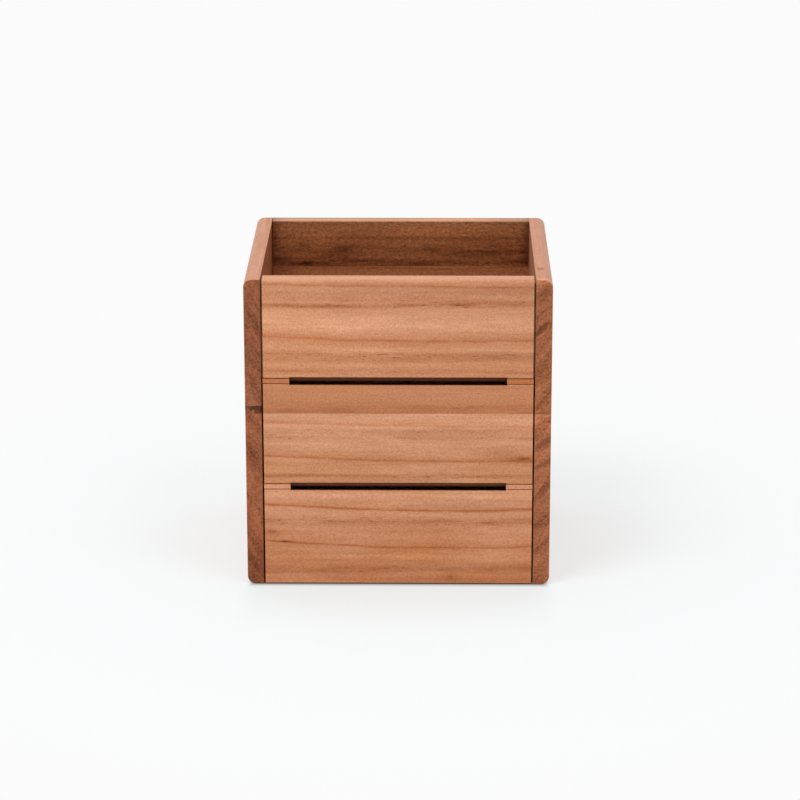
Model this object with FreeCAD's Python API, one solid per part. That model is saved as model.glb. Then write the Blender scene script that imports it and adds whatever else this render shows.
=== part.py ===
"""Wooden pen stand with two drawers, in millimetres.

A box of planed boards, open at the top. Two side panels run from front to back, and everything else
fits between them: a back panel, a front rail, a base, two thin shelves and a partition. The two
drawers run on the base and on the lower shelf, in front of the partition. Behind the partition the
box is open down to the base, and pens stand in that well. Over the upper drawer the upper shelf is
the floor of a shallow tray. Each shelf is cut back between two front tabs, and that notch is the
pull: a fingernail goes in over the drawer front and hooks behind its bevelled top edge.

The side panels, the back panel and the upper drawer front are each glued up from two staves.

Frame: +X to the right, +Y to the back, +Z up. The origin is under the middle of the box, on the
surface that it stands on. The drawer fronts face -Y.
"""

import os

import FreeCAD
import Part

# --- driving dimensions ---------------------------------------------------------------------------

# outside of the box
box_width = 110.0
box_depth = 92.0

# heights of the front, from the bottom upwards
lower_front_height = 36.4  # from the standing surface to the lower notch
upper_front_height = 37.5
rail_height = 36.5
shelf_thickness = 1.7
shelf_joint_gap = 0.3  # hairline over and under each shelf's front tabs

# boards
board = 6.0  # side panels, back panel, rail and base
partition_thickness = 4.0
outer_edge_radius = 3.0  # long outer edges of the side panels
front_edge_radius = 0.6  # around the end grain at the front of the side panels
eased_edge = 0.3  # sanded edges of the other box boards
rail_brow_radius = 1.0  # front top edge of the rail

# glue lines, as heights over the standing surface
left_side_glue_height = 68.1
right_side_glue_height = 65.2
back_glue_height = 97.3
drawer_front_glue_height = 65.2

# joinery in the side panels
tongue_thickness = 3.0
tongue_length = 2.0
tongue_stop = 2.0  # the tongues stop this far under the rim and over the bottom
shoulder_gap = 0.6  # shadow line between the rail's shoulders and the side panels
back_left_gap = 0.25  # the back's left shoulder stands this far off the side panel
back_left_contact = 1.5  # the shoulder's rear edge, which does touch it
groove_play = 0.1  # end and top play of every tongue and panel in its groove

# pull notches in the shelves
pull_width = 78.0
pull_depth = 3.5  # from the drawer fronts to the back of the notch
pull_relief = 0.4  # how far the pull is cut into the board over it and the board under it
pull_lip = 0.8  # what the bevel leaves of the top of a drawer front
pull_bevel_drop = 5.0  # how far the bevel falls to the back of the front
tab_setback = 0.1  # the tabs end this far behind the drawer fronts

# pen well behind the drawers
well_depth = 30.0

# drawers
drawer_side_gap = 0.5
drawer_top_gap = 1.2
drawer_back_gap = 0.3
drawer_foot_gap = 0.4  # the lower front clears the standing surface by this
base_front_gap = 0.3
drawer_front_thickness = 6.0
drawer_wall = 4.0
drawer_bottom_thickness = 2.0
drawer_bottom_lift = 1.6  # from the runner edge of the sides to the underside of the bottom
drawer_bottom_housing = 1.4  # how far the bottom's edges stand in the grooves
drawer_rabbet = 2.5  # how far the sides stand in the back of the front
drawer_eased_edge = 0.3

# --- places that follow ---------------------------------------------------------------------------

notch_height = shelf_thickness + 2 * shelf_joint_gap
lower_shelf_z = lower_front_height + shelf_joint_gap
upper_front_z = lower_front_height + notch_height
upper_front_top_z = upper_front_z + upper_front_height
upper_shelf_z = upper_front_top_z + shelf_joint_gap
rail_z = upper_front_top_z + notch_height
box_height = rail_z + rail_height

side_x = box_width / 2
inner_x = side_x - board  # inner face of each side panel
front_y = -box_depth / 2
back_y = box_depth / 2
rail_back_y = front_y + board
drawer_front_back_y = front_y + drawer_front_thickness
back_inner_y = back_y - board
partition_back_y = back_inner_y - well_depth
partition_front_y = partition_back_y - partition_thickness
shelf_front_y = front_y + tab_setback
pull_back_y = front_y + pull_depth

rail_tongue_y = (rail_back_y - tongue_thickness, rail_back_y)
back_tongue_front_y = back_inner_y + (board - tongue_thickness) / 2
back_tongue_y = (back_tongue_front_y, back_tongue_front_y + tongue_thickness)
tongue_top_z = box_height - tongue_stop
housed_x = inner_x + tongue_length  # how far a tongue or a shelf reaches into a side panel
groove_x = housed_x + groove_play

drawer_x = inner_x - drawer_side_gap
drawer_inner_x = drawer_x - drawer_wall
drawer_back_y = partition_front_y - drawer_back_gap
drawer_side_front_y = drawer_front_back_y - drawer_rabbet

NODES = "parts"
SAME_PLACE = 1e-6


# --- helpers --------------------------------------------------------------------------------------


def block(x, y, z):
    """A box from three (low, high) pairs."""
    low = FreeCAD.Vector(x[0], y[0], z[0])
    return Part.makeBox(x[1] - x[0], y[1] - y[0], z[1] - z[0], low)


def mirrored_pair(low, high, side):
    """A (low, high) pair of X on the right (side 1) or on the left (side -1)."""
    return (low, high) if side > 0 else (-high, -low)


def edges_on(shape, **planes):
    """The edges whose ends and middle lie in every given plane, such as x=55, z=0."""

    def lies_there(edge):
        middle = edge.valueAt((edge.FirstParameter + edge.LastParameter) / 2)
        points = [vertex.Point for vertex in edge.Vertexes] + [middle]
        offsets = [abs(getattr(point, axis) - at) for point in points for axis, at in planes.items()]
        return all(offset < SAME_PLACE for offset in offsets)

    return [edge for edge in shape.Edges if lies_there(edge)]


def rounded(shape, radius, *plane_sets):
    """The shape with a fillet on the edges in each set of planes, all in one operation."""
    edges = []
    for planes in plane_sets:
        for edge in edges_on(shape, **planes):
            if not any(edge.isSame(other) for other in edges):
                edges.append(edge)
    return shape.makeFillet(radius, edges)


def split_at_height(shape, height):
    """The part of the shape under a glue line, and the part over it."""
    box = shape.BoundBox
    x, y = (box.XMin - 1, box.XMax + 1), (box.YMin - 1, box.YMax + 1)
    under = shape.common(block(x, y, (box.ZMin - 1, height)))
    over = shape.common(block(x, y, (height, box.ZMax + 1)))
    return under, over


def export(node, shape):
    """Writes one node as a STEP file of its closed solids."""
    solids = shape.Solids
    whole = solids[0] if len(solids) == 1 else Part.makeCompound(solids)
    if not solids or not whole.isValid():
        raise ValueError(f"{node} is not a valid solid")
    whole.exportStep(os.path.join(NODES, node + ".step"))


# --- box ------------------------------------------------------------------------------------------


def side_panel(side):
    """A side panel with its grooves for the rail, the back and both shelves."""
    outer_x = side * side_x
    panel = block(mirrored_pair(inner_x, side_x, side), (front_y, back_y), (0, box_height))
    panel = rounded(panel, outer_edge_radius, {"x": outer_x, "z": 0}, {"x": outer_x, "z": box_height})
    panel = rounded(panel, front_edge_radius, {"y": front_y})
    panel = rounded(panel, eased_edge, {"y": back_y})
    groove = mirrored_pair(inner_x - 1, groove_x, side)
    lower_shelf = (lower_shelf_z, lower_shelf_z + shelf_thickness + groove_play)
    upper_shelf = (upper_shelf_z, upper_shelf_z + shelf_thickness + groove_play)
    cuts = [
        block(groove, rail_tongue_y, (rail_z, tongue_top_z + groove_play)),
        block(groove, back_tongue_y, (tongue_stop - groove_play, tongue_top_z + groove_play)),
        block(groove, (rail_back_y, partition_front_y), lower_shelf),
        block(groove, (rail_back_y, partition_back_y), upper_shelf),
    ]
    return panel.cut(Part.makeCompound(cuts))


def pull_cut(low_z, high_z):
    """What the cutter takes away at a pull, between two heights."""
    return block((-pull_width / 2, pull_width / 2), (front_y - 1, pull_back_y), (low_z, high_z))


def relieved_under(board_over_pull, z):
    """A board with its lower edge, at this height, cut back a little over the pull."""
    return board_over_pull.cut(pull_cut(z - 1, z + pull_relief))


def front_rail():
    """The fixed board over the upper drawer, with a tongue at each end, flush with its back."""
    x = inner_x - shoulder_gap
    rail = block((-x, x), (front_y, rail_back_y), (rail_z, box_height))
    rail = rounded(rail, rail_brow_radius, {"y": front_y, "z": box_height})
    rail = rounded(
        rail,
        eased_edge,
        {"y": rail_back_y, "z": box_height},
        {"y": front_y, "z": rail_z},
        {"x": -x, "y": front_y},
        {"x": x, "y": front_y},
    )
    tongue = block((-housed_x, housed_x), rail_tongue_y, (rail_z, tongue_top_z))
    return relieved_under(rail.fuse(tongue).removeSplitter(), rail_z)


def back_panel():
    """The back between the side panels, with a tongue at each end."""
    panel = block((-inner_x, inner_x), (back_inner_y, back_y), (0, box_height))
    panel = rounded(panel, eased_edge, {"y": back_y, "z": box_height}, {"y": back_inner_y, "z": box_height})
    gap_y = (back_inner_y - 1, back_y - back_left_contact)
    panel = panel.cut(block((-inner_x - 1, -inner_x + back_left_gap), gap_y, (-1, box_height + 1)))
    tongue = block((-housed_x, housed_x), back_tongue_y, (tongue_stop, tongue_top_z))
    return panel.fuse(tongue).removeSplitter()


def shelf(z, rear_y):
    """A thin shelf, housed in the side panels and notched between its two front tabs."""
    height = (z, z + shelf_thickness)
    housed = block((-housed_x, housed_x), (rail_back_y, rear_y), height)
    tabs = block((-drawer_x, drawer_x), (shelf_front_y, rail_back_y), height)
    return housed.fuse(tabs).removeSplitter().cut(pull_cut(*height))


def base_panel():
    return block((-inner_x, inner_x), (drawer_front_back_y + base_front_gap, back_inner_y), (0, board))


def well_partition():
    """The board between the drawers and the pen well. The upper shelf lies on it."""
    return block((-inner_x, inner_x), (partition_front_y, partition_back_y), (board, upper_shelf_z))


# --- drawers --------------------------------------------------------------------------------------


class DrawerHeights:
    """The heights of one drawer, from the surface that it runs on, its ceiling and its front."""

    def __init__(self, runner_z, ceiling_z, front_z, front_top_z):
        self.runner_z = runner_z
        self.wall_top_z = ceiling_z - drawer_top_gap
        self.front_z = front_z
        self.front_top_z = front_top_z
        self.bottom_z = runner_z + drawer_bottom_lift
        self.bottom_top_z = self.bottom_z + drawer_bottom_thickness


upper_runner_z = lower_shelf_z + shelf_thickness
upper_drawer = DrawerHeights(upper_runner_z, upper_shelf_z, upper_front_z, upper_front_top_z)
lower_drawer = DrawerHeights(board, lower_shelf_z, drawer_foot_gap, lower_front_height)


def drawer_bottom(drawer, play=0.0):
    """The thin bottom, or with play the room that it takes in the grooves around it."""
    x = drawer_inner_x + drawer_bottom_housing + play
    y_front = drawer_front_back_y - drawer_bottom_housing - play
    y_back = drawer_back_y - drawer_wall + drawer_bottom_housing + play
    return block((-x, x), (y_front, y_back), (drawer.bottom_z, drawer.bottom_top_z + play))


def drawer_side(drawer, side):
    x = mirrored_pair(drawer_inner_x, drawer_x, side)
    wall = block(x, (drawer_side_front_y, drawer_back_y), (drawer.runner_z, drawer.wall_top_z))
    wall = rounded(
        wall,
        drawer_eased_edge,
        {"x": side * drawer_x, "z": drawer.wall_top_z},
        {"x": side * drawer_inner_x, "z": drawer.wall_top_z},
    )
    return wall.cut(drawer_bottom(drawer, groove_play))


def drawer_back(drawer):
    x = (-drawer_inner_x, drawer_inner_x)
    y_inner = drawer_back_y - drawer_wall
    wall = block(x, (y_inner, drawer_back_y), (drawer.runner_z, drawer.wall_top_z))
    wall = rounded(
        wall,
        drawer_eased_edge,
        {"y": y_inner, "z": drawer.wall_top_z},
        {"y": drawer_back_y, "z": drawer.wall_top_z},
    )
    return wall.cut(drawer_bottom(drawer, groove_play))


def pull_lip_cut(top_z):
    """What comes off the top of a drawer front at the pull: a little all over, and a bevel behind."""
    lip_y = front_y + pull_lip
    lip_z = top_z - pull_relief
    slope = pull_bevel_drop / (drawer_front_back_y - lip_y)
    over = 1.0  # the cutter stands this far out of the board
    y_back = drawer_front_back_y + over
    low_z = lip_z - pull_bevel_drop - over * slope
    under_cut = [(front_y - over, lip_z), (lip_y, lip_z), (y_back, low_z)]
    outline = under_cut + [(y_back, top_z + over), (front_y - over, top_z + over)]
    points = [FreeCAD.Vector(-pull_width / 2, y, z) for y, z in outline]
    face = Part.Face(Part.makePolygon(points + points[:1]))
    return face.extrude(FreeCAD.Vector(pull_width, 0, 0))


def drawer_front(drawer):
    """The front, rabbeted for the sides, grooved for the bottom and bevelled behind the pull."""
    z = (drawer.front_z, drawer.front_top_z)
    front = block((-drawer_x, drawer_x), (front_y, drawer_front_back_y), z)
    top_back_edge = {"y": drawer_front_back_y, "z": drawer.front_top_z}
    front = rounded(front, drawer_eased_edge, {"y": front_y}, top_back_edge)
    for side in (-1, 1):
        x = mirrored_pair(drawer_inner_x, drawer_x + 1, side)
        y = (drawer_side_front_y, drawer_front_back_y)
        front = front.cut(block(x, y, (drawer.front_z, drawer.wall_top_z)))
    front = front.cut(pull_lip_cut(drawer.front_top_z))
    return front.cut(drawer_bottom(drawer, groove_play))


# --- nodes ----------------------------------------------------------------------------------------


def export_staves(name, shape, glue_height):
    """Writes a glued-up board as its two staves."""
    under, over = split_at_height(shape, glue_height)
    export(name + "_lower_stave", under)
    export(name + "_upper_stave", over)


def export_box():
    export_staves("left_side", side_panel(-1), left_side_glue_height)
    export_staves("right_side", side_panel(1), right_side_glue_height)
    export_staves("back", back_panel(), back_glue_height)
    export("front_rail", front_rail())
    export("upper_shelf", shelf(upper_shelf_z, partition_back_y))
    export("lower_shelf", shelf(lower_shelf_z, partition_front_y))
    export("base_panel", base_panel())
    export("well_partition", well_partition())


def export_drawer_box(name, drawer):
    export(name + "_left_side", drawer_side(drawer, -1))
    export(name + "_right_side", drawer_side(drawer, 1))
    export(name + "_back", drawer_back(drawer))
    export(name + "_bottom", drawer_bottom(drawer))


def main():
    os.makedirs(NODES, exist_ok=True)
    export_box()
    upper_front = relieved_under(drawer_front(upper_drawer), upper_front_z)
    export_staves("upper_drawer_front", upper_front, drawer_front_glue_height)
    export_drawer_box("upper_drawer", upper_drawer)
    export("lower_drawer_front", drawer_front(lower_drawer))
    export_drawer_box("lower_drawer", lower_drawer)
    print(f"box {box_width:.1f} x {box_depth:.1f} x {box_height:.1f}")


main()
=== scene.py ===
"""Looks of a wooden pen stand with two drawers: cherry boards, planed, sanded and rubbed with oil."""

import math
from typing import NamedTuple

import bpy
from mathutils import Matrix, Vector

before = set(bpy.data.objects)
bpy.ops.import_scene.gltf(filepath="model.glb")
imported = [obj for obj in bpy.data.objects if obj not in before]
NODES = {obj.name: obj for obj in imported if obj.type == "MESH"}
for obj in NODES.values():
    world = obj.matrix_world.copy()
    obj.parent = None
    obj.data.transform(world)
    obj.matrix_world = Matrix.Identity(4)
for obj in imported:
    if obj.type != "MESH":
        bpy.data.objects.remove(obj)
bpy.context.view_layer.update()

MM = 0.001


# --- shader tree helpers --------------------------------------------------------------------------


def feed(tree, socket, value):
    """Gives an input socket a constant, or links the output socket of another node to it."""
    if isinstance(value, bpy.types.NodeSocket):
        tree.links.new(value, socket)
    else:
        socket.default_value = value


def add(tree, kind, *values, settings=None, **named):
    """Adds a shader node. Plain values feed its inputs in order, and named ones, as Base_Color, by name."""
    made = tree.nodes.new(kind)
    for name, value in (settings or {}).items():
        setattr(made, name, value)
    for place, value in enumerate(values):
        feed(tree, made.inputs[place], value)
    for name, value in named.items():
        feed(tree, made.inputs[name.replace("_", " ")], value)
    return made


def calc(tree, operation, *values, clamp=False):
    """The result of one Math node."""
    settings = {"operation": operation, "use_clamp": clamp}
    return add(tree, "ShaderNodeMath", *values, settings=settings).outputs[0]


def vector_calc(tree, operation, *values):
    """The result of one Vector Math node."""
    made = add(tree, "ShaderNodeVectorMath", *values, settings={"operation": operation})
    return made.outputs["Value" if operation == "LENGTH" else "Vector"]


def separate(tree, vector):
    """The three parts of a vector."""
    return add(tree, "ShaderNodeSeparateXYZ", vector).outputs


def combine(tree, *parts):
    """A vector of three parts."""
    return add(tree, "ShaderNodeCombineXYZ", *parts).outputs[0]


def ease(tree, value, low, high, to_low=0.0, to_high=1.0):
    """Maps low..high smoothly onto to_low..to_high. Low may be over high."""
    settings = {"interpolation_type": "SMOOTHSTEP"}
    return add(tree, "ShaderNodeMapRange", value, low, high, to_low, to_high, settings=settings).outputs[0]


def mix_colour(tree, factor, first, second, blend="MIX"):
    """The second colour laid over the first. A factor under 0 moves the first away from the second."""
    settings = {"data_type": "RGBA", "blend_type": blend, "clamp_factor": False}
    made = add(tree, "ShaderNodeMix", settings=settings)
    factor_socket = made.inputs[0]
    first_colour, second_colour = made.inputs[6:8]
    feed(tree, factor_socket, factor)
    feed(tree, first_colour, first)
    feed(tree, second_colour, second)
    return made.outputs[2]


def noise(tree, vector, stretch, detail=2.0, roughness=0.5):
    """A noise about 0.5. The stretch is how fine it is along, across and through the board, per mm."""
    stretched = vector_calc(tree, "MULTIPLY", vector, stretch)
    values = {"Vector": stretched, "Scale": 1.0, "Detail": detail, "Roughness": roughness}
    return add(tree, "ShaderNodeTexNoise", **values).outputs[0]


def about_zero(tree, value, amount):
    """A noise about 0.5 turned into a swing about 0, by the amount."""
    return calc(tree, "MULTIPLY", calc(tree, "SUBTRACT", value, 0.5), amount)


KINDS = {"value": "NodeSocketFloat", "vector": "NodeSocketVector", "colour": "NodeSocketColor"}


def start_group(name, inputs, outputs):
    """A node group with its sockets. Returns the tree, its input sockets by name and its output node."""
    tree = bpy.data.node_groups.new(name, "ShaderNodeTree")
    for socket_name, kind, default in inputs:
        socket = tree.interface.new_socket(socket_name, in_out="INPUT", socket_type=KINDS[kind])
        if default is not None:
            socket.default_value = default
    for socket_name, kind in outputs:
        tree.interface.new_socket(socket_name, in_out="OUTPUT", socket_type=KINDS[kind])
    given = tree.nodes.new("NodeGroupInput").outputs
    return tree, given, tree.nodes.new("NodeGroupOutput")


def place_group(tree, group, **named):
    """Places a node group in a tree. Returns its outputs."""
    return add(tree, "ShaderNodeGroup", settings={"node_tree": group}, **named).outputs


# --- lines, zones, spots and rings in the wood ----------------------------------------------------

HALF_SPAN = 49.0  # half the clear width between the side panels, in mm

# How fine each noise is along, across and through the board, per mm
LINE_WANDER = (0.06, 0.02, 0.1)
CORE_PATCHES = (0.12, 0.4, 0.4)
ZONE_CLOUDS = (0.07, 0.5, 0.5)
ZONE_DASHES = (0.4, 1.7, 1.7)
SPOT_EDGE = (0.35, 0.8, 0.8)
RING_WANDER = (0.012, 0.03, 0.03)

# From where to where a noise or a distance is eased, and onto what if not 0 to 1
PATCHY_CORE = (0.3, 0.62, 0.5, 1.1)  # of the growth line's core
UPPER_SIDE = (-0.35, 0.15)  # mm over the line
CLOUDY_ZONE = (0.3, 0.7, 0.45, 1.25)
FLECK_START = (0.60, 0.74)
FLECKED_SHARE = (0.95, 0.3)  # of the zone's half height
SPOT_CORE = (1.0, 0.3)  # of the spot's half sizes
SPOT_HALO = (2.8, 0.4)
RING_STRENGTHS = (0.0, 1.0, 0.25, 1.0)
RING_LINE_END = (1.0, 0.985)  # of the way from ring to ring

CORE_FALL = 1.4  # the power of the distance by which a line's core fades
SPOT_RAGGEDNESS = 1.4  # of its half sizes
RING_UNEVENNESS = 1.6  # of the spacing
RING_LINE_RISE = 16.0  # the powers by which a ring's line and its soft shade rise towards the line
RING_SHADE_RISE = 3.0


def height_over_line(tree, given):
    """How far a point lies over a line that is drawn along a board through three heights."""
    parts = separate(tree, given["Vector"])
    along = calc(tree, "DIVIDE", parts[0], HALF_SPAN)
    half_sum = calc(tree, "MULTIPLY", calc(tree, "ADD", given["Left"], given["Right"]), 0.5)
    slope = calc(tree, "MULTIPLY", calc(tree, "SUBTRACT", given["Right"], given["Left"]), 0.5)
    bend = calc(tree, "SUBTRACT", half_sum, given["Middle"])
    curve = calc(tree, "MULTIPLY", calc(tree, "MULTIPLY_ADD", bend, along, slope), along)
    line = calc(tree, "ADD", given["Middle"], curve)
    leaning = calc(tree, "MULTIPLY_ADD", parts[2], given["Tilt"], line)
    wander = noise(tree, given["Vector"], LINE_WANDER, 3.0)
    wobble = calc(tree, "MULTIPLY_ADD", calc(tree, "SUBTRACT", wander, 0.5), given["Wobble"], leaning)
    return calc(tree, "SUBTRACT", parts[1], wobble)


LINE_INPUTS = [
    ("Vector", "vector", None),
    ("Left", "value", 0.0),
    ("Middle", "value", 0.0),
    ("Right", "value", 0.0),
    ("Tilt", "value", 0.0),
    ("Wobble", "value", 1.2),
    ("Strength", "value", 0.5),
]


def growth_line_group():
    """The end of a year's growth: a thin dark core, and a soft warm shade on its upper side."""
    inputs = LINE_INPUTS + [("Width", "value", 0.35), ("Shade", "value", 0.4), ("Reach", "value", 2.0)]
    tree, given, out = start_group("Growth Line", inputs, [("Core", "value"), ("Shade", "value")])
    over = height_over_line(tree, given)
    core_distance = calc(tree, "DIVIDE", over, given["Width"])
    core_distance = calc(tree, "POWER", calc(tree, "ABSOLUTE", core_distance), CORE_FALL)
    core = calc(tree, "EXPONENT", calc(tree, "MULTIPLY", core_distance, -1.0))
    patch = noise(tree, given["Vector"], CORE_PATCHES, 3.0)
    core = calc(tree, "MULTIPLY", core, ease(tree, patch, *PATCHY_CORE))
    above = calc(tree, "MAXIMUM", over, 0.0)
    fade = calc(tree, "EXPONENT", calc(tree, "DIVIDE", calc(tree, "MULTIPLY", above, -1.0), given["Reach"]))
    upper_side = ease(tree, over, *UPPER_SIDE)
    shade = calc(tree, "MULTIPLY", calc(tree, "MULTIPLY", fade, upper_side), given["Shade"])
    tree.links.new(calc(tree, "MULTIPLY", core, given["Strength"]), out.inputs["Core"])
    tree.links.new(shade, out.inputs["Shade"])
    return tree


def brown_zone_group():
    """A broad dull zone along the grain, with dark flecks in it."""
    inputs = LINE_INPUTS + [("Half Height", "value", 3.0), ("Fleck", "value", 1.0)]
    tree, given, out = start_group("Brown Zone", inputs, [("Mask", "value"), ("Flecks", "value")])
    over = height_over_line(tree, given)
    share = calc(tree, "DIVIDE", calc(tree, "ABSOLUTE", over), given["Half Height"])
    body = ease(tree, share, 1.0, 0.0)
    cloud = noise(tree, given["Vector"], ZONE_CLOUDS, 4.0)
    body = calc(tree, "MULTIPLY", body, ease(tree, cloud, *CLOUDY_ZONE))
    dash = noise(tree, given["Vector"], ZONE_DASHES)
    flecks = calc(tree, "MULTIPLY", ease(tree, dash, *FLECK_START), ease(tree, share, *FLECKED_SHARE))
    tree.links.new(calc(tree, "MULTIPLY", body, given["Strength"]), out.inputs["Mask"])
    tree.links.new(calc(tree, "MULTIPLY", flecks, given["Fleck"]), out.inputs["Flecks"])
    return tree


def blotch_group():
    """A dark spot, such as a pin knot or a gum fleck, drawn out along the grain, with a warm halo."""
    inputs = [
        ("Vector", "vector", None),
        ("Along", "value", 0.0),
        ("Across", "value", 0.0),
        ("Length", "value", 2.0),
        ("Height", "value", 0.8),
        ("Strength", "value", 0.7),
        ("Halo", "value", 0.3),
        ("Through", "value", 0.0),
        ("Thickness", "value", 400.0),
        ("Tilt", "value", 0.0),
    ]
    tree, given, out = start_group("Blotch", inputs, [("Core", "value"), ("Halo", "value")])
    parts = separate(tree, given["Vector"])
    ragged = calc(tree, "SUBTRACT", noise(tree, given["Vector"], SPOT_EDGE, 3.0), 0.5)
    along = calc(tree, "DIVIDE", calc(tree, "SUBTRACT", parts[0], given["Along"]), given["Length"])
    deep = calc(tree, "SUBTRACT", parts[2], given["Through"])
    leaning = calc(tree, "MULTIPLY_ADD", deep, given["Tilt"], given["Across"])
    across = calc(tree, "DIVIDE", calc(tree, "SUBTRACT", parts[1], leaning), given["Height"])
    deep = calc(tree, "DIVIDE", deep, given["Thickness"])
    square = calc(tree, "MULTIPLY_ADD", across, across, calc(tree, "MULTIPLY", along, along))
    square = calc(tree, "MULTIPLY_ADD", deep, deep, square)
    distance = calc(tree, "MULTIPLY_ADD", ragged, SPOT_RAGGEDNESS, calc(tree, "SQRT", square))
    core = ease(tree, distance, *SPOT_CORE)
    halo = calc(tree, "MULTIPLY", ease(tree, distance, *SPOT_HALO), given["Halo"])
    tree.links.new(calc(tree, "MULTIPLY", core, given["Strength"]), out.inputs["Core"])
    tree.links.new(halo, out.inputs["Halo"])
    return tree


def growth_rings_group():
    """Rings round a pith that runs along the grain, for boards whose lines aren't drawn one by one."""
    inputs = [
        ("Vector", "vector", None),
        ("Pith Across", "value", -60.0),
        ("Pith Depth", "value", 40.0),
        ("Spacing", "value", 6.0),
        ("Waver", "value", 5.0),
    ]
    tree, given, out = start_group("Growth Rings", inputs, [("Core", "value"), ("Shade", "value")])
    parts = separate(tree, given["Vector"])
    across = calc(tree, "SUBTRACT", parts[1], given["Pith Across"])
    depth = calc(tree, "SUBTRACT", parts[2], given["Pith Depth"])
    square = calc(tree, "ADD", calc(tree, "POWER", across, 2.0), calc(tree, "POWER", depth, 2.0))
    offset = about_zero(tree, noise(tree, given["Vector"], RING_WANDER, 3.0, 0.45), given["Waver"])
    radius = calc(tree, "ADD", calc(tree, "SQRT", square), offset)
    turns = calc(tree, "DIVIDE", radius, given["Spacing"])
    one_way = {"noise_dimensions": "1D"}
    uneven = add(tree, "ShaderNodeTexNoise", settings=one_way, W=turns, Scale=0.6).outputs[0]
    turns = calc(tree, "MULTIPLY_ADD", uneven, RING_UNEVENNESS, turns)
    share = calc(tree, "FRACT", turns)
    whole = calc(tree, "FLOOR", turns)
    each = add(tree, "ShaderNodeTexWhiteNoise", settings=one_way, W=whole).outputs[0]
    strength = ease(tree, each, *RING_STRENGTHS)
    rise = calc(tree, "POWER", share, RING_LINE_RISE)
    fall = ease(tree, share, *RING_LINE_END)
    line = calc(tree, "MULTIPLY", calc(tree, "MULTIPLY", rise, fall), strength)
    shade = calc(tree, "MULTIPLY", calc(tree, "POWER", share, RING_SHADE_RISE), strength)
    tree.links.new(line, out.inputs["Core"])
    tree.links.new(shade, out.inputs["Shade"])
    return tree


GROWTH_LINE = growth_line_group()
BROWN_ZONE = brown_zone_group()
BLOTCH = blotch_group()
GROWTH_RINGS = growth_rings_group()


# --- the wood itself ------------------------------------------------------------------------------

# How fine each part of the figure is along, across and through the board, per mm
FIGURE_BEND = (0.03, 0.12, 0.12)
SPECKLE = (1.3, 1.6, 1.6)
FIBRES = (0.10, 2.2, 2.2)
PORES = (0.7, 4.5, 4.5)
STREAKS = (0.025, 0.55, 0.45)
DRIFT = (0.022, 0.12, 0.12)
MOTTLE = (0.7, 1.0, 1.0)
END_RINGS = (0.0, 0.16, 0.06)

BEND_SWING = 3.0  # mm
PORE_START = (0.62, 0.78)

# How strongly each of them shows in the colour
DRIFT_SWING = 2.2
STREAK_SWING = 1.0
SPECKLE_SWING = 0.72
FIBRE_SWING = 0.16
PORE_DARKNESS = 0.10
END_MOTTLE = 2.25
END_BANDS = 2.0
DARKEST_TONE = 0.1
TONE_POWERS = (0.9, 1.15, 1.4)  # for red, green and blue: where the wood is darker, it is redder

# What each dark mark lets through of the wood's colour
SHADE_TINT = (0.80, 0.60, 0.40, 1.0)
CORE_TINT = (0.68, 0.36, 0.06, 1.0)
FLECK_TINT = (0.55, 0.39, 0.25, 1.0)
SPOT_TINT = (0.25, 0.19, 0.10, 1.0)

FIBRE_ROUGHNESS = (0.3, 0.7, 0.50, 0.40)  # eased from 0.50 to 0.40 as the fibres' noise goes from 0.3 to 0.7
END_ROUGHNESS = 0.2  # more than on a face
PORE_DEPTH = 0.6  # against the height of the fibres

END_FACING = (0.55, 0.9)  # how squarely a face looks along the grain where end grain starts, and is full


def figure_group():
    """Fine figure of sanded cherry: speckle, fibres, pores, streaks and slow drift of tone."""
    names = ("Speckle", "Fibres", "Pores", "Streaks", "Drift")
    outputs = [(name, "value") for name in names]
    tree, given, out = start_group("Cherry Figure", [("Vector", "vector", None)], outputs)
    shift = about_zero(tree, noise(tree, given["Vector"], FIGURE_BEND), BEND_SWING)
    vector = vector_calc(tree, "ADD", given["Vector"], combine(tree, 0.0, shift, 0.0))
    speckle = noise(tree, vector, SPECKLE, 2.0, 0.6)
    fibres = noise(tree, vector, FIBRES, 3.0, 0.6)
    dots = noise(tree, vector, PORES, 1.0)
    streaks = noise(tree, vector, STREAKS, 3.0, 0.6)
    drift = noise(tree, vector, DRIFT, 3.0)
    pores = ease(tree, dots, *PORE_START)
    for name, value in zip(names, (speckle, fibres, pores, streaks, drift)):
        tree.links.new(value, out.inputs[name])
    return tree


FIGURE = figure_group()


def stain(tree, colour, tint, mask):
    """The colour, multiplied by the tint where the mask is 1."""
    return mix_colour(tree, mask, colour, mix_colour(tree, 1.0, colour, tint, "MULTIPLY"))


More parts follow.
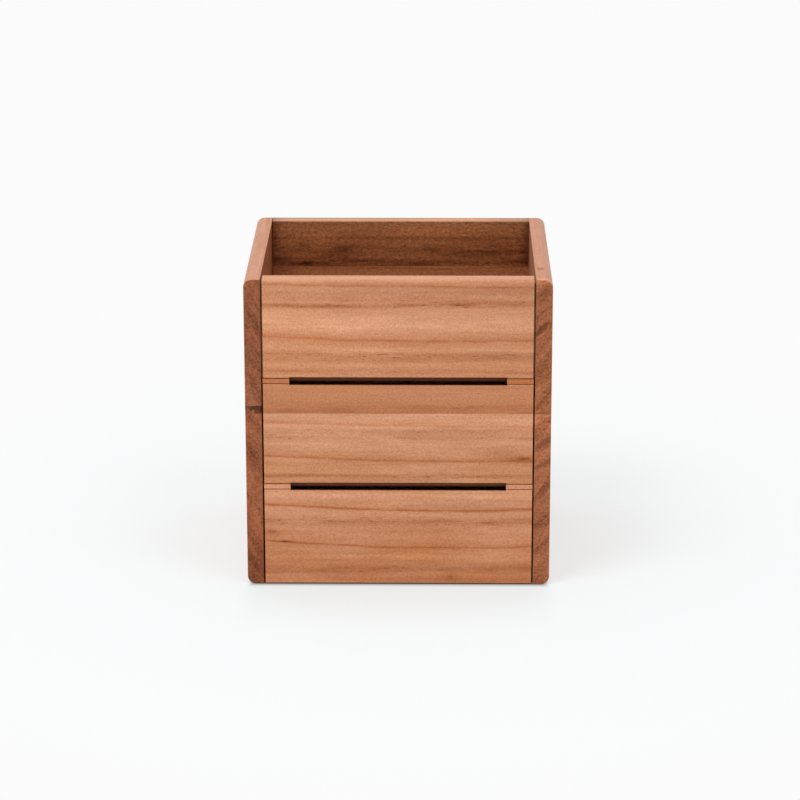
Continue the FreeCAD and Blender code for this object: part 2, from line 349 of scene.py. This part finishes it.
def cherry_colour_group():
    """Lays the figure, lines, zones and spots of one board over its own two tones, and a painted shade on its
    inner face.
    """
    inputs = [
        ("Vector", "vector", None),
        ("Place", "value", 0.5),
        ("Facing", "value", 0.0),
        ("Pale", "colour", None),
        ("Warm", "colour", None),
        ("Core", "value", 0.0),
        ("Shade", "value", 0.0),
        ("Zones", "value", 0.0),
        ("Flecks", "value", 0.0),
        ("Spots", "value", 0.0),
        ("Zone Tint", "colour", None),
        ("End Tint", "colour", None),
        ("End Tilt", "value", 0.0),
        ("Inside", "value", 0.0),
        ("Inside Tint", "colour", None),
        ("Mottle", "value", 0.0),
    ]
    outputs = [("Colour", "colour"), ("Roughness", "value"), ("Height", "value")]
    tree, given, out = start_group("Cherry Colour", inputs, outputs)
    figure = place_group(tree, FIGURE, Vector=given["Vector"])

    def swing(name, amount):
        return about_zero(tree, figure[name], amount)

    def at_most_one(name):
        return calc(tree, "MINIMUM", given[name], 1.0)

    # The board's two tones, with its marks laid over them
    drift = calc(tree, "ADD", given["Place"], swing("Drift", DRIFT_SWING), clamp=True)
    colour = mix_colour(tree, drift, given["Pale"], given["Warm"])
    zones = calc(tree, "ADD", given["Zones"], swing("Streaks", STREAK_SWING))
    zones = calc(tree, "MAXIMUM", calc(tree, "MINIMUM", zones, 1.0), -1.0)
    colour = stain(tree, colour, given["Zone Tint"], zones)
    colour = stain(tree, colour, SHADE_TINT, at_most_one("Shade"))
    colour = stain(tree, colour, CORE_TINT, at_most_one("Core"))
    colour = stain(tree, colour, FLECK_TINT, at_most_one("Flecks"))
    # Painted shade: the face that looks into the box is darkened by the inside shade tint
    colour = stain(tree, colour, given["Inside Tint"], given["Inside"])
    colour = stain(tree, colour, SPOT_TINT, at_most_one("Spots"))

    # How much lighter or darker than 1 each point is
    fine = calc(tree, "ADD", swing("Speckle", SPECKLE_SWING), swing("Fibres", FIBRE_SWING))
    tone = calc(tree, "ADD", fine, 1.0)
    tone = calc(tree, "SUBTRACT", tone, calc(tree, "MULTIPLY", figure["Pores"], PORE_DARKNESS))
    end = ease(tree, calc(tree, "ABSOLUTE", given["Facing"]), *END_FACING)
    mottle = noise(tree, given["Vector"], MOTTLE, 3.0, 0.8)
    inside_mottle = calc(tree, "MULTIPLY", given["Inside"], given["Mottle"])
    amount = calc(tree, "MAXIMUM", calc(tree, "MULTIPLY", end, END_MOTTLE), inside_mottle)
    tone = calc(tree, "MULTIPLY_ADD", calc(tree, "SUBTRACT", mottle, 0.5), amount, tone)
    parts = separate(tree, given["Vector"])
    leaning = calc(tree, "SUBTRACT", parts[1], calc(tree, "MULTIPLY", parts[2], given["End Tilt"]))
    bands = noise(tree, combine(tree, 0.0, leaning, parts[2]), END_RINGS, 4.0, 0.6)
    tone = calc(tree, "ADD", tone, about_zero(tree, bands, calc(tree, "MULTIPLY", end, END_BANDS)))
    tone = calc(tree, "MAXIMUM", tone, DARKEST_TONE)
    deeper = combine(tree, *[calc(tree, "POWER", tone, power) for power in TONE_POWERS])
    colour = stain(tree, colour, given["End Tint"], end)
    colour = mix_colour(tree, 1.0, colour, deeper, "MULTIPLY")

    rough = ease(tree, figure["Fibres"], *FIBRE_ROUGHNESS)
    rough = calc(tree, "MULTIPLY_ADD", end, END_ROUGHNESS, rough)
    height = calc(tree, "ADD", figure["Fibres"], calc(tree, "MULTIPLY", figure["Pores"], -PORE_DEPTH))
    tree.links.new(colour, out.inputs["Colour"])
    tree.links.new(rough, out.inputs["Roughness"])
    tree.links.new(height, out.inputs["Height"])
    return tree


CHERRY_COLOUR = cherry_colour_group()


# --- what a board is made of ----------------------------------------------------------------------


class Line(NamedTuple):
    """A growth line through three heights, at the left, the middle and the right of the board, in mm."""

    left: float
    middle: float
    right: float
    strength: float = 0.5
    width: float = 0.35
    shade: float = 0.35
    reach: float = 2.0
    tilt: float = 0.0
    wobble: float = 1.2


class Zone(NamedTuple):
    """A dull brown zone along the board, through three heights, in mm. A strength under 0 makes it paler."""

    left: float
    middle: float
    right: float
    half_height: float
    strength: float = 0.5
    fleck: float = 0.6
    tilt: float = 0.0
    wobble: float = 1.5


class Spot(NamedTuple):
    """A dark spot, by its place along, across and through the board and its half sizes, in mm.

    A strength under 0 makes it paler. With no thickness given, it reaches right through the board.
    """

    along: float
    across: float
    length: float = 1.8
    height: float = 0.8
    strength: float = 0.7
    halo: float = 0.3
    through: float = 0.0
    thickness: float = 400.0
    tilt: float = 0.0


class Rings(NamedTuple):
    """Growth rings round a pith outside the board, in mm."""

    pith_across: float
    pith_depth: float
    spacing: float
    strength: float = 0.5
    waver: float = 5.0


class Board(NamedTuple):
    """The tones of a board. It turns from pale to warm between two places across it, in mm."""

    pale: tuple
    warm: tuple
    pale_at: float
    warm_at: float
    zone_tint: tuple = (0.66, 0.50, 0.34)
    end_tint: tuple = (0.60, 0.46, 0.34)
    end_tilt: float = 0.0
    mottle: float = 0.0
    # painted shade: the tint that darkens the face looking into the box
    inside_tint: tuple = (1.0, 1.0, 1.0)


# Which of x, y and z runs along the grain, across it and through the board
ORDER = {"x": (0, 2, 1), "y": (1, 2, 0), "flat": (0, 1, 2)}

LOG_STEP = (137.0, 61.0, 43.0)  # mm in the log from one seed to the next
INNER_FACING = (0.5, 0.9)  # how squarely a face looks inward where the inner face starts, and is full
RING_SHADE = 0.6  # the rings' soft shade against their lines
BUMP_STRENGTH = 0.25
BUMP_HEIGHT = 0.04 * MM
OILED_SPECULAR = 0.25


def grain_space(tree, grain):
    """The place on the board in mm and the way it faces: along the grain, across it and through the board."""
    place = add(tree, "ShaderNodeTexCoord").outputs
    in_mm = vector_calc(tree, "MULTIPLY", place["Object"], (1.0 / MM, 1.0 / MM, 1.0 / MM))
    point = separate(tree, in_mm)
    normal = separate(tree, place["Normal"])
    order = ORDER[grain]
    return combine(tree, *[point[axis] for axis in order]), [normal[axis] for axis in order]


def total(tree, masks):
    """The sum of the masks, or 0 if there are none."""
    if not masks:
        return 0.0
    value, *others = masks
    for mask in others:
        value = calc(tree, "ADD", value, mask)
    return value


def opaque(colour):
    """The colour with an alpha of 1."""
    return (*colour, 1.0)


def lay_features(tree, board, features):
    """Places each feature's group. Returns the sums of their masks by name."""
    masks = {"Core": [], "Shade": [], "Zones": [], "Flecks": [], "Spots": []}
    for feature in features:
        values = {name.title(): value for name, value in feature._asdict().items()}
        if isinstance(feature, Line):
            placed = place_group(tree, GROWTH_LINE, Vector=board, **values)
            masks["Core"].append(placed["Core"])
            masks["Shade"].append(placed["Shade"])
        elif isinstance(feature, Zone):
            placed = place_group(tree, BROWN_ZONE, Vector=board, **values)
            masks["Zones"].append(placed["Mask"])
            masks["Flecks"].append(placed["Flecks"])
        elif isinstance(feature, Spot):
            placed = place_group(tree, BLOTCH, Vector=board, **values)
            masks["Spots"].append(placed["Core"])
            masks["Shade"].append(placed["Halo"])
        else:
            strength = values.pop("Strength")
            placed = place_group(tree, GROWTH_RINGS, Vector=board, **values)
            masks["Core"].append(calc(tree, "MULTIPLY", placed["Core"], strength))
            masks["Shade"].append(calc(tree, "MULTIPLY", placed["Shade"], RING_SHADE * strength))
    return {name: total(tree, found) for name, found in masks.items()}


def cherry(name, grain, board, features, seed, inward=1.0):
    """A material for one board. Its inner face looks towards +1 or -1 on the axis through the board.

    The seed picks the stretch of log that its fine figure comes from.
    """
    made = bpy.data.materials.new(name)
    made.use_nodes = True
    tree = made.node_tree
    tree.nodes.clear()
    placed, facing = grain_space(tree, grain)
    fade = ease(tree, separate(tree, placed)[1], board.pale_at, board.warm_at)
    moved = vector_calc(tree, "ADD", placed, tuple(step * seed for step in LOG_STEP))
    # where the face looks into the box, which takes the painted shade
    inside = ease(tree, calc(tree, "MULTIPLY", facing[2], inward), *INNER_FACING)
    laid = place_group(
        tree, CHERRY_COLOUR, Vector=moved, Place=fade, Facing=facing[0], Inside=inside, Mottle=board.mottle,
        Pale=opaque(board.pale), Warm=opaque(board.warm), Zone_Tint=opaque(board.zone_tint),
        End_Tint=opaque(board.end_tint), End_Tilt=board.end_tilt, Inside_Tint=opaque(board.inside_tint),
        **lay_features(tree, placed, features),
    )
    bump = add(
        tree, "ShaderNodeBump", Strength=BUMP_STRENGTH, Distance=BUMP_HEIGHT, Height=laid["Height"]
    ).outputs[0]
    shader = add(
        tree, "ShaderNodeBsdfPrincipled", Base_Color=laid["Colour"], Roughness=laid["Roughness"], Normal=bump,
        Specular_IOR_Level=OILED_SPECULAR,
    )
    add(tree, "ShaderNodeOutputMaterial", Surface=shader.outputs[0])
    return made


def dress(node, material):
    """Gives a CAD node its material."""
    for slot in NODES[node].material_slots:
        slot.material = material


# --- the front ------------------------------------------------------------------------------------

RAIL = Board(pale=(0.590, 0.265, 0.140), warm=(0.545, 0.231, 0.107), pale_at=103.0, warm_at=84.0)
STRIP = Board(pale=(0.510, 0.207, 0.093), warm=(0.510, 0.203, 0.089), pale_at=76.0, warm_at=65.0)
MIDDLE = Board(pale=(0.665, 0.320, 0.180), warm=(0.515, 0.220, 0.098), pale_at=66.0, warm_at=41.0)
LOWEST = Board(pale=(0.600, 0.275, 0.148), warm=(0.490, 0.188, 0.077), pale_at=35.0, warm_at=6.0)


def dress_front():
    """The rail and the drawer fronts, with their growth lines where the boards show them."""
    rail = [
        Line(113.1, 112.6, 112.0, strength=0.60, width=0.6, shade=0.15, reach=1.0),
        Zone(107.5, 107.5, 108.5, half_height=5.5, strength=0.30, fleck=0.5),
        Zone(105.3, 105.6, 106.3, half_height=1.6, strength=0.60, fleck=0.9),
        Zone(99.2, 98.6, 98.2, half_height=6.0, strength=-0.42, fleck=0.0),
        Line(94.0, 92.3, 92.5, strength=0.50, width=0.8, shade=0.5, reach=2.0),
        Zone(90.0, 89.0, 89.0, half_height=1.6, strength=-0.30, fleck=0.0),
        Zone(86.9, 86.5, 86.3, half_height=2.4, strength=0.55, fleck=1.0),
        Zone(83.8, 83.6, 83.6, half_height=1.2, strength=-0.20, fleck=0.0),
        Zone(81.0, 81.2, 80.6, half_height=1.4, strength=0.30, fleck=0.7),
        # Painted light: paler towards the left and darker towards the right, as the light falls off across
        # the rail
        Spot(-52.0, 97.0, length=60.0, height=26.0, strength=-0.09, halo=0.0),
        Spot(52.0, 98.0, length=45.0, height=26.0, strength=0.07, halo=0.0),
        Spot(0.0, 111.6, length=400.0, height=3.4, strength=0.13, halo=0.0),
        Spot(34.0, 88.2, length=16.0, height=3.0, strength=0.08, halo=0.0),
    ]
    dress("front_rail", cherry("cherry front rail", "x", RAIL, rail, seed=1.0))
    strip = [
        Zone(66.8, 66.6, 66.8, half_height=3.6, strength=0.4),
        Line(65.8, 65.6, 65.7, strength=0.15, width=0.5, shade=0.25, reach=2.5),
    ]
    dress("upper_drawer_front_upper_stave", cherry("cherry front strip", "x", STRIP, strip, seed=2.0))
    middle = [
        Line(62.0, 60.7, 60.2, strength=0.35, width=0.6, shade=0.2, reach=1.5),
        Zone(58.6, 58.2, 58.4, half_height=2.0, strength=0.40, fleck=0.8),
        Zone(56.2, 55.8, 56.0, half_height=1.3, strength=0.40, fleck=0.6),
        Zone(53.6, 53.4, 53.4, half_height=1.2, strength=-0.15, fleck=0.0),
        Line(49.3, 47.4, 47.4, strength=0.56, width=0.4, shade=0.4, reach=1.6),
        Zone(44.0, 42.0, 37.0, half_height=2.5, strength=-0.35, fleck=0.0),
        Zone(41.8, 41.6, 41.6, half_height=1.2, strength=0.60, fleck=0.9),
        Spot(45.3, 48.4, length=2.8, height=0.8, strength=0.46, halo=0.5),
        Spot(43.0, 48.6, length=9.0, height=1.6, strength=0.10, halo=0.3),
        Spot(0.0, 54.7, length=400.0, height=5.5, strength=0.09, halo=0.0),
        Spot(15.0, 41.0, length=15.0, height=3.4, strength=0.16, halo=0.0),
        Spot(14.0, 47.0, length=10.0, height=4.0, strength=0.09, halo=0.0),
        Spot(-28.0, 47.4, length=24.0, height=3.6, strength=-0.08, halo=0.0),
    ]
    dress("upper_drawer_front_lower_stave", cherry("cherry front board", "x", MIDDLE, middle, seed=3.0))
    lowest = [
        Zone(34.6, 34.2, 34.2, half_height=2.6, strength=-0.40, fleck=0.0),
        Line(31.0, 28.5, 29.0, strength=0.80, width=0.5, shade=0.5, reach=2.4),
        Zone(24.8, 24.2, 24.0, half_height=2.6, strength=0.70, fleck=1.0),
        Line(17.2, 14.3, 14.7, strength=0.75, width=0.4, shade=0.35, reach=1.4),
        Zone(11.0, 10.2, 9.6, half_height=2.0, strength=-0.30, fleck=0.0),
        Zone(5.8, 5.8, 6.4, half_height=2.6, strength=0.60, fleck=0.8),
        Line(2.2, 2.0, 1.8, strength=0.15, width=0.6, shade=0.1, reach=1.4),
        Spot(-46.0, 20.2, length=2.4, height=0.9, strength=0.38, halo=0.5),
        Spot(-41.5, 16.5, length=3.4, height=0.5, strength=0.70, halo=0.3),
        Spot(19.0, 2.6, length=2.0, height=1.0, strength=0.25, halo=0.5),
        Spot(24.0, 29.5, length=34.0, height=5.0, strength=0.11, halo=0.0),
        Spot(7.0, 11.8, length=16.0, height=3.0, strength=-0.09, halo=0.0),
    ]
    dress("lower_drawer_front", cherry("cherry lowest front", "x", LOWEST, lowest, seed=4.0))


# --- the side panels ------------------------------------------------------------------------------

# The side panels' inside shade tints are painted shade, deepest on the left panel's inner face
LEFT_UPPER = Board(
    pale=(0.525, 0.233, 0.130), warm=(0.485, 0.200, 0.100), pale_at=115.0, warm_at=0.0,
    end_tint=(0.486, 0.345, 0.255), end_tilt=-1.6, inside_tint=(0.640, 0.530, 0.380),
)
LEFT_LOWER = LEFT_UPPER._replace(end_tint=(0.554, 0.399, 0.299), end_tilt=-1.3)
RIGHT_UPPER = Board(
    pale=(0.500, 0.216, 0.115), warm=(0.490, 0.205, 0.103), pale_at=115.0, warm_at=0.0,
    end_tint=(0.645, 0.512, 0.376), end_tilt=0.85, inside_tint=(0.856, 0.873, 0.902),
)
RIGHT_LOWER = RIGHT_UPPER._replace(end_tint=(0.693, 0.552, 0.441), end_tilt=0.7)
SIDE_RINGS = Rings(pith_across=-30.0, pith_depth=170.0, spacing=9.0)
FRONT_EDGE = -46.0  # where the side panels' end grain looks to the front, in mm


def end_spot(across, through, height, thickness, strength, tilt=0.0, halo=0.0, length=6.0):
    """A spot in the end grain of a side panel's front edge, mostly where rings cross the board aslant, and
    once a painted highlight.
    """
    return Spot(FRONT_EDGE, across, length, height, strength, halo, through, thickness, tilt)


def dress_sides():
    """The side panels, each glued up from two staves with rings of their own."""
    left_upper = [SIDE_RINGS, end_spot(88.0, -50.0, height=7.0, thickness=2.5, strength=0.08, tilt=-1.0)]
    left_lower = [
        SIDE_RINGS,
        end_spot(67.6, -50.0, height=3.6, thickness=9.0, strength=1.15, tilt=-0.35),
        end_spot(49.5, -52.4, height=4.4, thickness=2.4, strength=0.20, tilt=-1.6),
        end_spot(5.0, -51.0, height=12.0, thickness=7.0, strength=0.32),
    ]
    right_upper = [
        SIDE_RINGS,
        end_spot(96.6, 51.0, height=1.9, thickness=6.0, strength=0.66, tilt=0.89, halo=0.4),
        end_spot(110.5, 52.0, height=4.2, thickness=3.4, strength=0.28, tilt=0.5, halo=0.2, length=5.0),
        end_spot(84.0, 52.0, height=4.0, thickness=3.0, strength=0.10, tilt=0.9, halo=0.2, length=5.0),
        # Painted highlight: paler along the top of the front edge, where its rounding catches the light
        end_spot(114.6, 52.0, height=1.8, thickness=12.0, strength=-0.55, length=4.0),
        Spot(-30.5, 115.0, length=2.4, height=3.0, strength=0.68, halo=0.0, through=50.9, thickness=1.7),
    ]
    right_lower = [
        SIDE_RINGS,
        end_spot(62.5, 52.0, height=7.0, thickness=9.0, strength=-0.42),
        end_spot(54.6, 52.6, height=1.8, thickness=5.5, strength=0.36, tilt=0.67, halo=0.2),
        end_spot(46.4, 52.6, height=2.0, thickness=5.5, strength=0.42, tilt=0.45, halo=0.2),
        end_spot(36.8, 53.0, height=3.4, thickness=5.0, strength=0.38, tilt=1.05, halo=0.2),
        end_spot(25.0, 52.0, height=2.6, thickness=4.0, strength=0.12, tilt=0.9, halo=0.1),
    ]
    for node, name, board, features, seed, inward in (
        ("left_side_upper_stave", "cherry left upper", LEFT_UPPER, left_upper, 5.0, 1.0),
        ("left_side_lower_stave", "cherry left lower", LEFT_LOWER, left_lower, 6.0, 1.0),
        ("right_side_upper_stave", "cherry right upper", RIGHT_UPPER, right_upper, 7.0, -1.0),
        ("right_side_lower_stave", "cherry right lower", RIGHT_LOWER, right_lower, 8.0, -1.0),
    ):
        dress(node, cherry(name, "y", board, features, seed, inward))


# --- the back -------------------------------------------------------------------------------------

# The back staves' inside shade tints are painted shade on the faces that look into the box
STREAKY_BACK = Board(
    pale=(0.498, 0.238, 0.130), warm=(0.495, 0.227, 0.121), pale_at=115.0, warm_at=98.0,
    zone_tint=(0.45, 0.33, 0.22), mottle=2.5, inside_tint=(0.635, 0.500, 0.350),
)
BACK = Board(
    pale=(0.540, 0.230, 0.110), warm=(0.520, 0.220, 0.110), pale_at=97.0, warm_at=60.0,
    mottle=1.6, inside_tint=(0.740, 0.690, 0.600),
)
BACK_RINGS = Rings(pith_across=-50.0, pith_depth=90.0, spacing=9.0, strength=0.6)


def dress_back():
    """The back panel: a streaky stave over a plainer one, their inner faces darkened by painted shade."""
    upper = [
        Zone(99.4, 98.1, 99.2, half_height=2.6, strength=0.8, fleck=0.8),
        Zone(108.2, 108.6, 108.1, half_height=1.4, strength=0.45, fleck=0.8),
        Zone(104.0, 103.5, 103.5, half_height=5.0, strength=0.4, fleck=1.0),
        Spot(-35.8, 98.6, length=3.4, height=1.2, strength=0.85, halo=0.5),
        Spot(-22.5, 104.3, length=5.0, height=1.8, strength=0.50, halo=0.4),
        Spot(-37.0, 105.8, length=3.2, height=1.2, strength=0.50, halo=0.3),
        Spot(-29.0, 101.4, length=5.0, height=1.0, strength=0.30, halo=0.3),
        Spot(12.0, 104.0, length=5.0, height=1.1, strength=0.40, halo=0.3),
        Spot(38.0, 103.0, length=12.0, height=3.0, strength=0.25, halo=0.3),
        Spot(-20.0, 99.6, length=9.0, height=1.2, strength=0.25, halo=0.3),
        Spot(0.0, 108.3, length=24.0, height=0.9, strength=0.22, halo=0.2),
        # Painted shade: darker where the back meets the side panels, in the corners of the tray
        Spot(-49.5, 108.0, length=3.5, height=16.0, strength=0.35, halo=0.0),
        Spot(49.5, 106.0, length=5.0, height=18.0, strength=0.60, halo=0.0),
        Spot(26.0, 102.0, length=16.0, height=2.6, strength=0.36, halo=0.0),
        Spot(-23.0, 101.8, length=8.0, height=2.0, strength=0.20, halo=0.0),
        Spot(-45.0, 99.3, length=8.0, height=3.0, strength=0.30, halo=0.0),
        Spot(-32.0, 98.0, length=14.0, height=2.0, strength=0.40, halo=0.0),
        Spot(0.0, 99.4, length=30.0, height=1.8, strength=0.30, halo=0.0),
        # Painted shade in the tray's upper left corner
        Spot(-48.0, 113.0, length=5.0, height=5.0, strength=0.28, halo=0.0),
        Spot(43.0, 115.0, length=12.0, height=3.0, strength=0.22, halo=0.0),
        Spot(9.0, 109.6, length=22.0, height=3.4, strength=-0.28, halo=0.0),
        Spot(-32.0, 107.6, length=16.0, height=4.0, strength=-0.30, halo=0.0),
        Spot(16.0, 113.0, length=24.0, height=3.4, strength=-0.18, halo=0.0),
    ]
    dress("back_upper_stave", cherry("cherry back upper", "x", STREAKY_BACK, upper, seed=9.0, inward=-1.0))
    dress("back_lower_stave", cherry("cherry back lower", "x", BACK, [BACK_RINGS], seed=10.0, inward=-1.0))


# --- the inside -----------------------------------------------------------------------------------

UPPER_SHELF = Board(pale=(0.495, 0.169, 0.061), warm=(0.500, 0.210, 0.105), pale_at=-44.0, warm_at=-36.0)
LOWER_SHELF = Board(pale=(0.670, 0.305, 0.175), warm=(0.620, 0.280, 0.155), pale_at=-44.0, warm_at=-36.0)
INNER = Board(pale=(0.540, 0.235, 0.120), warm=(0.490, 0.200, 0.100), pale_at=60.0, warm_at=0.0)
DRAWER_BOX = Board(pale=(0.650, 0.320, 0.185), warm=(0.570, 0.260, 0.140), pale_at=60.0, warm_at=0.0)
INNER_RINGS = Rings(pith_across=-80.0, pith_depth=35.0, spacing=7.0, strength=0.4)

# Painted shade: the dark wall at the back of each shelf's pull notch, all along it, deep in the slot
UPPER_NOTCH_SHADE = Spot(0.0, -42.5, length=400.0, height=2.2, strength=0.90)
LOWER_NOTCH_SHADE = UPPER_NOTCH_SHADE._replace(strength=0.95)


def dress_inside():
    """The shelves, the base, the partition and the drawer boxes."""
    for node, name, grain, board, features, seed in (
        ("upper_shelf", "cherry upper shelf", "flat", UPPER_SHELF, [INNER_RINGS, UPPER_NOTCH_SHADE], 11.0),
        ("lower_shelf", "cherry lower shelf", "flat", LOWER_SHELF, [INNER_RINGS, LOWER_NOTCH_SHADE], 12.0),
        ("base_panel", "cherry base", "flat", INNER, [INNER_RINGS], 13.0),
        ("well_partition", "cherry partition", "x", INNER, [INNER_RINGS], 14.0),
    ):
        dress(node, cherry(name, grain, board, features, seed))
    for seed, drawer in ((15.0, "upper_drawer"), (16.0, "lower_drawer")):
        side = cherry(f"cherry {drawer} sides", "y", DRAWER_BOX, [INNER_RINGS], seed)
        back = cherry(f"cherry {drawer} back", "x", DRAWER_BOX, [INNER_RINGS], seed + 4.0)
        bottom = cherry(f"cherry {drawer} bottom", "flat", DRAWER_BOX, [INNER_RINGS], seed + 8.0)
        dress(f"{drawer}_left_side", side)
        dress(f"{drawer}_right_side", side)
        dress(f"{drawer}_back", back)
        dress(f"{drawer}_bottom", bottom)


# --- camera ---------------------------------------------------------------------------------------

CAMERA_PLACE = Vector((12.1, -1095.4, 395.8)) * MM
CAMERA_PITCH = math.radians(17.226)  # down
CAMERA_YAW = math.radians(0.624)  # to the left
CAMERA_ROLL = math.radians(-0.058)
FOCAL_PIXELS = 3065.6
FRAME_PIXELS = 800.0
SENSOR = 36.0  # mm


def make_camera():
    """A camera in front of the box, a little to its right and looking slightly down on it."""
    data = bpy.data.cameras.new("camera")
    data.sensor_width = SENSOR
    data.lens = FOCAL_PIXELS / FRAME_PIXELS * SENSOR
    data.clip_start = 0.01
    data.clip_end = 100.0
    camera = bpy.data.objects.new("camera", data)
    bpy.context.scene.collection.objects.link(camera)
    level = math.cos(CAMERA_PITCH)
    sideways = math.sin(CAMERA_YAW)
    forward = math.cos(CAMERA_YAW)
    ahead = Vector((-sideways * level, forward * level, -math.sin(CAMERA_PITCH)))
    right = Vector((forward, sideways, 0.0))
    up = right.cross(ahead)
    turn = Matrix.Rotation(CAMERA_ROLL, 3, -ahead)
    axes = Matrix((turn @ right, turn @ up, -ahead)).transposed()
    camera.matrix_world = Matrix.Translation(CAMERA_PLACE) @ axes.to_4x4()
    bpy.context.scene.camera = camera


# --- floor and light ------------------------------------------------------------------------------

STUDIO_WHITE = (0.965, 0.965, 0.965, 1.0)  # the backdrop, and the floor where it turns into it
WHITE = (1.0, 1.0, 1.0, 1.0)
BLACK = (0.0, 0.0, 0.0, 1.0)
FLOOR_COLOUR = (0.92, 0.92, 0.92, 1.0)  # what lights the box from below
SEEN_FLOOR = (0.310, 0.338, 0.348, 1.0)  # how much of the light and shadow on it the floor shows
FLOOR_GLOW = (0.592, 0.588, 0.586, 1.0)
SHADOWED_GLOW = (0.528, 0.532, 0.525, 1.0)  # the dimmer glow right before the box: a painted shadow, where the box takes light from the floor
FLOOR_ROUGHNESS = 0.3
FLOOR_HALF = 30.0  # half its side, in metres
HALF_WIDTH = 0.0525  # half the width and depth of the floor that the box covers, in metres
HALF_DEPTH = 0.046

# From where to where the floor changes, in metres, and from what to what share if not 0 to 1
FLOOR_FADE = (0.07, 0.26)  # from the middle of the box, where the floor turns into the backdrop
UNDER_EDGE = (-0.001, 0.003)  # outside the box, where the glow comes on
BEFORE_BOX = (-0.01, 0.005, 0.15, 1.0)  # before its front, where most of the painted shadow is
NEAR_FADE = (0.0, 0.05, 1.0, 0.0)  # outside the box
BESIDE_BOX = (-0.002, 0.006, 1.0, 0.0)  # beyond its sides


def seen_directly(tree):
    """1 for what the camera sees, straight or in a gloss, and 0 for what only lights the box."""
    rays = add(tree, "ShaderNodeLightPath").outputs
    return calc(tree, "ADD", rays["Is Camera Ray"], rays["Is Glossy Ray"], clamp=True)


def floor_material():
    """A pale floor. Close to the object it takes light and shadow, with a painted shadow in its glow before
    the box, and further off it is an even white.
    """
    material = bpy.data.materials.new("studio floor")
    material.use_nodes = True
    tree = material.node_tree
    tree.nodes.clear()
    seen = seen_directly(tree)
    place = add(tree, "ShaderNodeTexCoord").outputs["Object"]
    far = ease(tree, vector_calc(tree, "LENGTH", place), *FLOOR_FADE)
    parts = separate(tree, place)
    beside = calc(tree, "SUBTRACT", calc(tree, "ABSOLUTE", parts[0]), HALF_WIDTH)
    before = calc(tree, "SUBTRACT", calc(tree, "ABSOLUTE", parts[1]), HALF_DEPTH)
    outside = calc(tree, "MAXIMUM", beside, before)
    open_floor = ease(tree, outside, *UNDER_EDGE)
    ahead = calc(tree, "SUBTRACT", calc(tree, "MULTIPLY", parts[1], -1.0), HALF_DEPTH)
    in_front = ease(tree, ahead, *BEFORE_BOX)
    # Painted shadow: the glow dims right before the box's front and fades away beside it
    shadow_share = calc(tree, "MULTIPLY", ease(tree, outside, *NEAR_FADE), in_front)
    shadow_share = calc(tree, "MULTIPLY", shadow_share, ease(tree, beside, *BESIDE_BOX))
    colour = mix_colour(tree, seen, FLOOR_COLOUR, mix_colour(tree, far, SEEN_FLOOR, BLACK))
    glow = mix_colour(tree, far, mix_colour(tree, shadow_share, FLOOR_GLOW, SHADOWED_GLOW), STUDIO_WHITE)
    shader = add(
        tree, "ShaderNodeBsdfPrincipled", Base_Color=colour, Roughness=FLOOR_ROUGHNESS, Emission_Color=glow,
        Emission_Strength=calc(tree, "MULTIPLY", seen, open_floor), Specular_IOR_Level=0.0,
    )
    add(tree, "ShaderNodeOutputMaterial", Surface=shader.outputs[0])
    return material


def make_floor():
    """The floor that the box stands on."""
    mesh = bpy.data.meshes.new("floor")
    corners = [(x * FLOOR_HALF, y * FLOOR_HALF, 0.0) for x, y in ((-1, -1), (1, -1), (1, 1), (-1, 1))]
    mesh.from_pydata(corners, [], [(0, 1, 2, 3)])
    mesh.materials.append(floor_material())
    floor = bpy.data.objects.new("floor", mesh)
    bpy.context.scene.collection.objects.link(floor)


WORLD_TURN = (-0.2, 0.6)  # from where to where towards the back the world's light changes
FRONT_LEVEL = 0.70
BACK_LEVEL = 0.90
LAMP_AIM = Vector((0.0, 0.0, 0.05))  # metres, as the lamps' places and sizes


def make_lamp(name, place, size, watts):
    """A round soft box that looks at the middle of the box."""
    data = bpy.data.lights.new(name, "AREA")
    data.shape = "DISK"
    data.size = size
    data.energy = watts
    lamp = bpy.data.objects.new(name, data)
    lamp.location = place
    lamp.rotation_euler = (LAMP_AIM - Vector(place)).to_track_quat("-Z", "Y").to_euler()
    bpy.context.scene.collection.objects.link(lamp)


def make_light():
    """A white sweep behind and above, a dimmer studio on the camera's side, and two high soft boxes."""
    world = bpy.data.worlds.new("studio")
    world.use_nodes = True
    tree = world.node_tree
    tree.nodes.clear()
    towards = separate(tree, add(tree, "ShaderNodeTexCoord").outputs["Generated"])
    level = ease(tree, towards[1], *WORLD_TURN, FRONT_LEVEL, BACK_LEVEL)
    lit = add(tree, "ShaderNodeBackground", Color=WHITE, Strength=level).outputs[0]
    seen = add(tree, "ShaderNodeBackground", Color=STUDIO_WHITE, Strength=1.0).outputs[0]
    shown = add(tree, "ShaderNodeMixShader", seen_directly(tree), lit, seen).outputs[0]
    add(tree, "ShaderNodeOutputWorld", Surface=shown)
    bpy.context.scene.world = world
    make_lamp("left lamp", (-0.36, -0.40, 0.95), size=0.45, watts=3.8)
    make_lamp("right lamp", (0.43, -0.43, 1.1), size=0.5, watts=2.0)


bpy.context.scene.view_settings.view_transform = "Standard"
make_camera()
make_floor()
make_light()
dress_front()
dress_sides()
dress_back()
dress_inside()
